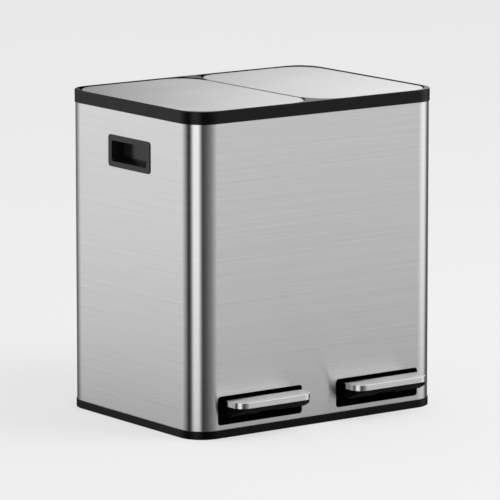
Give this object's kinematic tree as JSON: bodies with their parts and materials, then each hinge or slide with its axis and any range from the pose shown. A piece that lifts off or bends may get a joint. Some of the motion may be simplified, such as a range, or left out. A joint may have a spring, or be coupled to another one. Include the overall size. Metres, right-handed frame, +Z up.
{
  "type": "double recycling bin",
  "caption": "Free-standing steel pedal bin with two lids side by side, each opened by its own pedal, over two lift-out buckets.",
  "frame": {"origin": "on the floor, under the middle of the steel body (the pedals stand out in front of it)", "axes": "+Z up, +X to the right as seen from the front, -Y towards the front, where the pedals are"},
  "size_m": [0.4204, 0.351, 0.45],
  "materials": {
    "steel_wall": "horizontally brushed stainless sheet",
    "steel_lid": "brushed stainless sheet",
    "steel_pedal": "satin stainless pressing",
    "zinc_steel": "zinc-plated",
    "black_plastic": "fine satin moulding",
    "grey_plastic": "plain moulding",
    "white_plastic": "plain moulding",
    "rubber": "matt"
  },
  "bodies": {
    "housing": {"outer_shell": "steel_wall", "top_frame": "black_plastic", "base_tray": "black_plastic", "antislip_pads": "rubber", "inner_floor": "black_plastic", "deck_screws": "zinc_steel", "rear_rivets": "steel_wall", "side_handle_left": "black_plastic", "side_handle_right": "black_plastic", "pedal_housing_left": "black_plastic", "pedal_housing_right": "black_plastic", "pedal_axle_left": "zinc_steel", "pedal_axle_right": "zinc_steel", "axle_clips_left": "zinc_steel", "axle_clips_right": "zinc_steel", "rod_guide_left": "black_plastic", "rod_guide_right": "black_plastic", "guide_screws_left": "zinc_steel", "guide_screws_right": "zinc_steel", "hinge_pins_left": "zinc_steel", "hinge_pins_right": "zinc_steel", "bucket_left": "grey_plastic", "bucket_right": "grey_plastic"},
    "lid_left": {"lid_panel_left": "steel_lid", "lid_liner_left": "black_plastic", "lid_crank_left": "zinc_steel", "crank_screws_left": "zinc_steel", "lid_bumpers_left": "rubber"},
    "pedal_left": {"pedal_cover_left": "steel_pedal", "pedal_pad_left": "black_plastic", "pedal_lever_left": "zinc_steel", "lever_bush_left": "white_plastic", "pedal_screws_left": "zinc_steel"},
    "rod_left": {"push_rod_left": "zinc_steel", "rod_head_left": "white_plastic", "rod_pin_left": "zinc_steel", "rod_foot_left": "white_plastic"},
    "lid_right": {"lid_panel_right": "steel_lid", "lid_liner_right": "black_plastic", "lid_crank_right": "zinc_steel", "crank_screws_right": "zinc_steel", "lid_bumpers_right": "rubber"},
    "pedal_right": {"pedal_cover_right": "steel_pedal", "pedal_pad_right": "black_plastic", "pedal_lever_right": "zinc_steel", "lever_bush_right": "white_plastic", "pedal_screws_right": "zinc_steel"},
    "rod_right": {"push_rod_right": "zinc_steel", "rod_head_right": "white_plastic", "rod_pin_right": "zinc_steel", "rod_foot_right": "white_plastic"}
  },
  "joints": [
    {"name": "lid_hinge_left", "type": "hinge", "parent": "housing", "child": "lid_left", "pos_m": [-0.101, 0.1435, 0.444], "axis": [-1, 0, 0], "range_deg": [0, 80]},
    {"name": "pedal_hinge_left", "type": "hinge", "parent": "housing", "child": "pedal_left", "pos_m": [-0.101, -0.058, 0.021], "axis": [1, 0, 0], "range_deg": [0, 7.7]},
    {"name": "rod_slide_left", "type": "slide", "parent": "housing", "child": "rod_left", "axis": [0, 0, 1], "range_m": [0, 0.02527]},
    {"name": "lid_hinge_right", "type": "hinge", "parent": "housing", "child": "lid_right", "pos_m": [0.101, 0.1435, 0.444], "axis": [-1, 0, 0], "range_deg": [0, 80]},
    {"name": "pedal_hinge_right", "type": "hinge", "parent": "housing", "child": "pedal_right", "pos_m": [0.101, -0.058, 0.021], "axis": [1, 0, 0], "range_deg": [0, 7.7]},
    {"name": "rod_slide_right", "type": "slide", "parent": "housing", "child": "rod_right", "axis": [0, 0, 1], "range_m": [0, 0.02527]}
  ],
  "couplings": [
    {"joint": "pedal_hinge_left", "follows": "lid_hinge_left", "ratio": 0.095625},
    {"joint": "rod_slide_left", "follows": "lid_hinge_left", "m_per_rad": 0.018029},
    {"joint": "pedal_hinge_right", "follows": "lid_hinge_right", "ratio": 0.095625},
    {"joint": "rod_slide_right", "follows": "lid_hinge_right", "m_per_rad": 0.018029}
  ]
}
